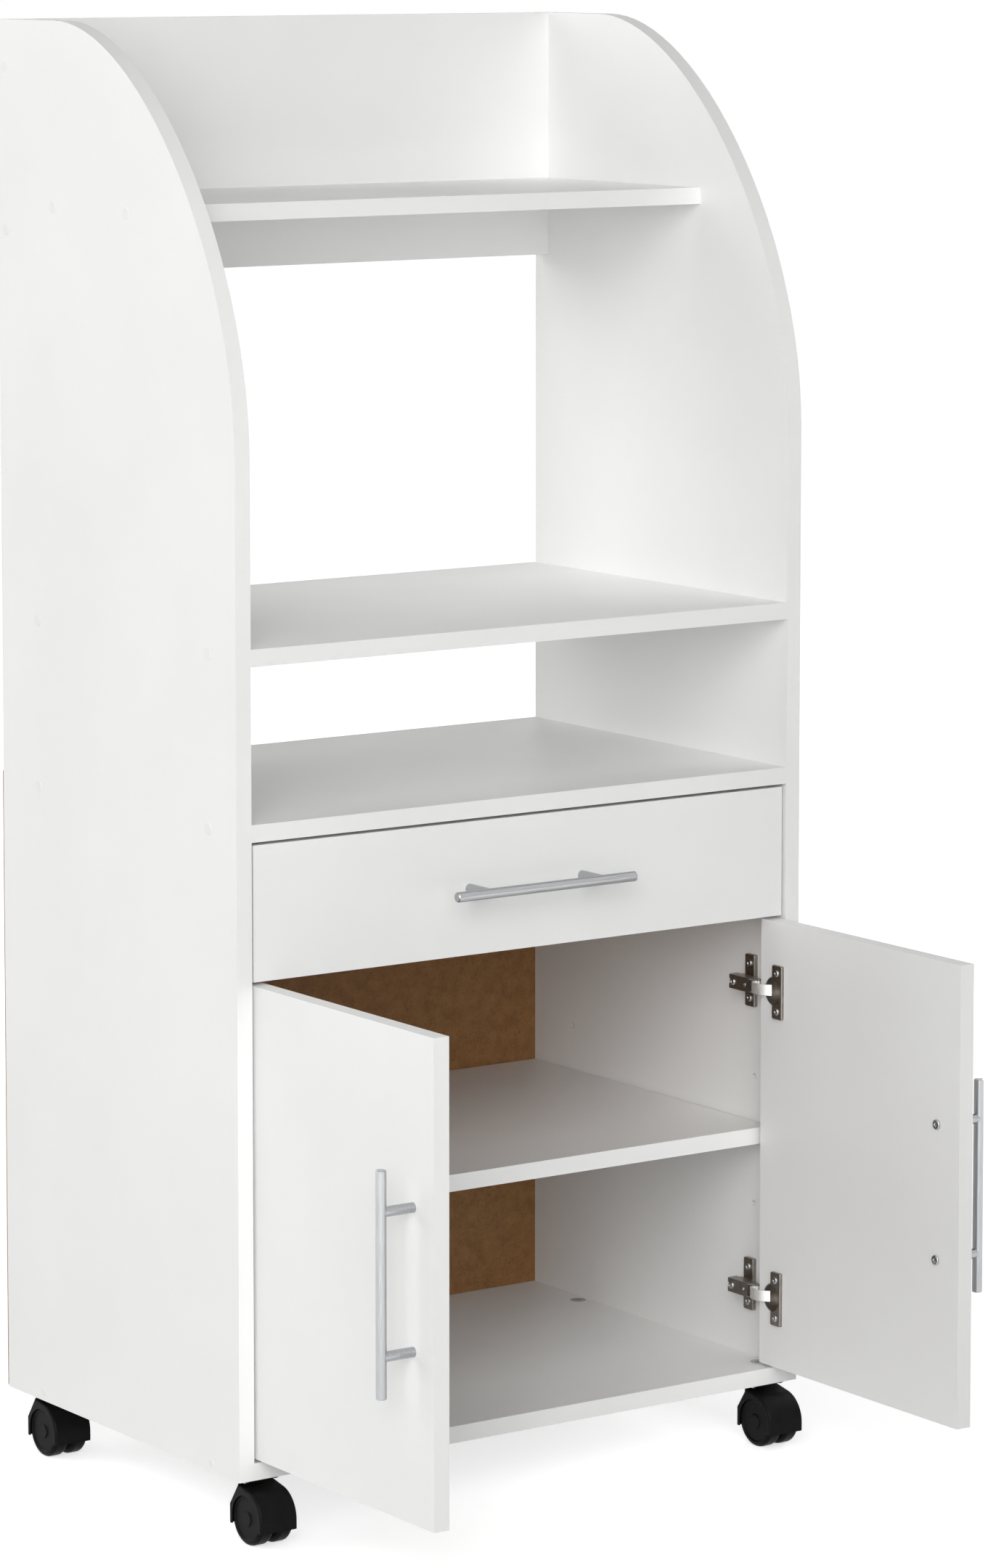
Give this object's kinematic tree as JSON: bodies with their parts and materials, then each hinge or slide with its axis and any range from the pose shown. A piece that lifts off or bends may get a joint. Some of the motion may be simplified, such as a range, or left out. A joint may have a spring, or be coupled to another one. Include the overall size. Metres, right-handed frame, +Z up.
{
  "type": "microwave cart",
  "caption": "Tall board cart on casters with curved sides, open shelves for an oven, a drawer and two doors.",
  "frame": {"origin": "on the floor under the middle of the carcass, midway between its front and back planes", "axes": "+X to the right seen from the front, +Y to the back, +Z up"},
  "size_m": [0.637, 0.661, 1.293],
  "materials": {
    "white_board": "satin",
    "drawer_board": "satin",
    "hardboard": "matte",
    "white_plastic": "satin",
    "zinc_steel": "satin",
    "white_steel": "satin",
    "satin_aluminium": "satin",
    "hinge_nickel": "satin",
    "bright_link": "polished",
    "black_steel": "satin",
    "black_nylon": "satin",
    "black_wheel": "satin",
    "axle_steel": "satin"
  },
  "bodies": {
    "cabinet": {"left_side_panel": "white_board", "right_side_panel": "white_board", "bottom_panel": "white_board", "cabinet_top_panel": "white_board", "middle_shelf": "white_board", "upper_shelf": "white_board", "top_back_rail": "white_board", "back_panel": "hardboard", "back_panel_nails": "zinc_steel", "inner_shelf": "white_board", "shelf_pins": "zinc_steel", "frame_screws": "zinc_steel", "screw_cover_caps": "white_plastic", "corner_connectors": "white_plastic", "left_cabinet_runner": "white_steel", "right_cabinet_runner": "white_steel", "runner_screws": "zinc_steel", "hinge_plates": "hinge_nickel", "hinge_arms": "hinge_nickel", "hinge_screws": "zinc_steel", "caster_top_plates": "black_steel", "caster_plate_screws": "zinc_steel"},
    "drawer": {"drawer_front": "white_board", "drawer_left_side": "drawer_board", "drawer_right_side": "drawer_board", "drawer_back": "drawer_board", "drawer_bottom": "hardboard", "drawer_connectors": "white_plastic", "drawer_box_screws": "zinc_steel", "left_drawer_runner": "white_steel", "right_drawer_runner": "white_steel", "drawer_handle_bar": "satin_aluminium", "drawer_handle_posts": "satin_aluminium", "drawer_handle_screws": "zinc_steel"},
    "cabinet_rollers": {"cabinet_rollers": "white_plastic"},
    "drawer_rollers": {"drawer_rollers": "white_plastic"},
    "left_door": {"left_door": "white_board", "left_door_handle_bar": "satin_aluminium", "left_door_handle_posts": "satin_aluminium", "left_door_screws": "zinc_steel", "left_hinge_cups": "hinge_nickel"},
    "right_door": {"right_door": "white_board", "right_door_handle_bar": "satin_aluminium", "right_door_handle_posts": "satin_aluminium", "right_door_screws": "zinc_steel", "right_hinge_cups": "hinge_nickel"},
    "left_hinge_links": {"left_hinge_links": "bright_link"},
    "right_hinge_links": {"right_hinge_links": "bright_link"},
    "front_left_caster_swivel": {"front_left_caster_hood": "black_nylon", "front_left_caster_axle": "axle_steel"},
    "front_left_caster_wheels": {"front_left_caster_wheels": "black_wheel"},
    "front_right_caster_swivel": {"front_right_caster_hood": "black_nylon", "front_right_caster_axle": "axle_steel"},
    "front_right_caster_wheels": {"front_right_caster_wheels": "black_wheel"},
    "back_left_caster_swivel": {"back_left_caster_hood": "black_nylon", "back_left_caster_axle": "axle_steel"},
    "back_left_caster_wheels": {"back_left_caster_wheels": "black_wheel"},
    "back_right_caster_swivel": {"back_right_caster_hood": "black_nylon", "back_right_caster_axle": "axle_steel"},
    "back_right_caster_wheels": {"back_right_caster_wheels": "black_wheel"}
  },
  "joints": [
    {"name": "drawer_slide", "type": "slide", "parent": "cabinet", "child": "drawer", "axis": [0, -1, 0], "range_m": [0, 0.26]},
    {"name": "cabinet_roller_spin", "type": "hinge", "parent": "cabinet", "child": "cabinet_rollers", "pos_m": [0, -0.1645, 0.505], "axis": [1, 0, 0], "range_deg": [0, 2192]},
    {"name": "drawer_roller_spin", "type": "hinge", "parent": "drawer", "child": "drawer_rollers", "pos_m": [0, 0.1355, 0.505], "axis": [1, 0, 0], "range_deg": [0, 2192]},
    {"name": "left_door_hinge", "type": "hinge", "parent": "cabinet", "child": "left_door", "pos_m": [-0.277, -0.187, 0.2795], "axis": [0, 0, 1], "range_deg": [-5, 90]},
    {"name": "left_link_pivot", "type": "hinge", "parent": "cabinet", "child": "left_hinge_links", "pos_m": [-0.271, -0.174, 0.2795], "axis": [0, 0, 1], "range_deg": [-4, 55]},
    {"name": "front_left_caster_swivel", "type": "hinge", "parent": "cabinet", "child": "front_left_caster_swivel", "pos_m": [-0.27325, -0.171, 0.0521], "axis": [0, 0, 1], "continuous": true},
    {"name": "front_left_caster_roll", "type": "hinge", "parent": "front_left_caster_swivel", "child": "front_left_caster_wheels", "pos_m": [-0.27325, -0.19, 0.023], "axis": [1, 0, 0], "continuous": true},
    {"name": "back_left_caster_swivel", "type": "hinge", "parent": "cabinet", "child": "back_left_caster_swivel", "pos_m": [-0.27325, 0.171, 0.0521], "axis": [0, 0, 1], "continuous": true},
    {"name": "back_left_caster_roll", "type": "hinge", "parent": "back_left_caster_swivel", "child": "back_left_caster_wheels", "pos_m": [-0.27325, 0.152, 0.023], "axis": [1, 0, 0], "continuous": true},
    {"name": "right_door_hinge", "type": "hinge", "parent": "cabinet", "child": "right_door", "pos_m": [0.277, -0.187, 0.2795], "axis": [0, 0, 1], "range_deg": [-90, 5]},
    {"name": "right_link_pivot", "type": "hinge", "parent": "cabinet", "child": "right_hinge_links", "pos_m": [0.271, -0.174, 0.2795], "axis": [0, 0, 1], "range_deg": [-55, 4]},
    {"name": "front_right_caster_swivel", "type": "hinge", "parent": "cabinet", "child": "front_right_caster_swivel", "pos_m": [0.27325, -0.171, 0.0521], "axis": [0, 0, 1], "continuous": true},
    {"name": "front_right_caster_roll", "type": "hinge", "parent": "front_right_caster_swivel", "child": "front_right_caster_wheels", "pos_m": [0.27325, -0.19, 0.023], "axis": [1, 0, 0], "continuous": true},
    {"name": "back_right_caster_swivel", "type": "hinge", "parent": "cabinet", "child": "back_right_caster_swivel", "pos_m": [0.27325, 0.171, 0.0521], "axis": [0, 0, 1], "continuous": true},
    {"name": "back_right_caster_roll", "type": "hinge", "parent": "back_right_caster_swivel", "child": "back_right_caster_wheels", "pos_m": [0.27325, 0.152, 0.023], "axis": [1, 0, 0], "continuous": true}
  ],
  "couplings": [
    {"joint": "cabinet_roller_spin", "follows": "drawer_slide", "rad_per_m": 147.06},
    {"joint": "drawer_roller_spin", "follows": "drawer_slide", "rad_per_m": 147.06},
    {"joint": "left_link_pivot", "follows": "left_door_hinge", "ratio": 0.6},
    {"joint": "right_link_pivot", "follows": "right_door_hinge", "ratio": 0.6}
  ]
}
